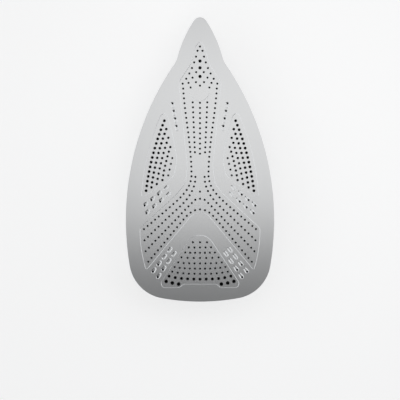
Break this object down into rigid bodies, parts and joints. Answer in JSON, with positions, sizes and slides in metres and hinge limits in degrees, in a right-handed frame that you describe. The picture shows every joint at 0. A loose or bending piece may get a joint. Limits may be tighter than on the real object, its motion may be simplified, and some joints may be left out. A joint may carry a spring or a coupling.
{
  "type": "steam iron soleplate",
  "caption": "Flat boat-shaped steam iron soleplate: perforated steel face with pressed panels and scoops over a cast heater body with a steam chamber, element terminals and housing posts.",
  "frame": {"origin": "centre of the bounding box at the level of the tips of the nose peg and the heel posts, which the unit stands on", "axes": "+Z out of the ironing face, +Y along the sole towards the nose, +X to the right as the face is looked at with the nose up"},
  "size_m": [0.12, 0.23, 0.025],
  "materials": {
    "sole_steel": "satin",
    "cast_aluminium": "as cast",
    "sheath_steel": "heat tinted",
    "insulator_ceramic": "matte",
    "terminal_brass": "rolled",
    "seal_silicone": "matte",
    "cover_aluminium": "rolled sheet"
  },
  "bodies": {
    "root": {"sole_plate": "sole_steel", "heater_casting": "cast_aluminium", "element_end_right": "sheath_steel", "element_end_left": "sheath_steel", "end_insulator_right": "insulator_ceramic", "end_insulator_left": "insulator_ceramic", "terminal_tab_right": "terminal_brass", "terminal_tab_left": "terminal_brass", "earth_tab": "terminal_brass", "chamber_seal": "seal_silicone", "chamber_cover": "cover_aluminium"}
  },
  "joints": []
}
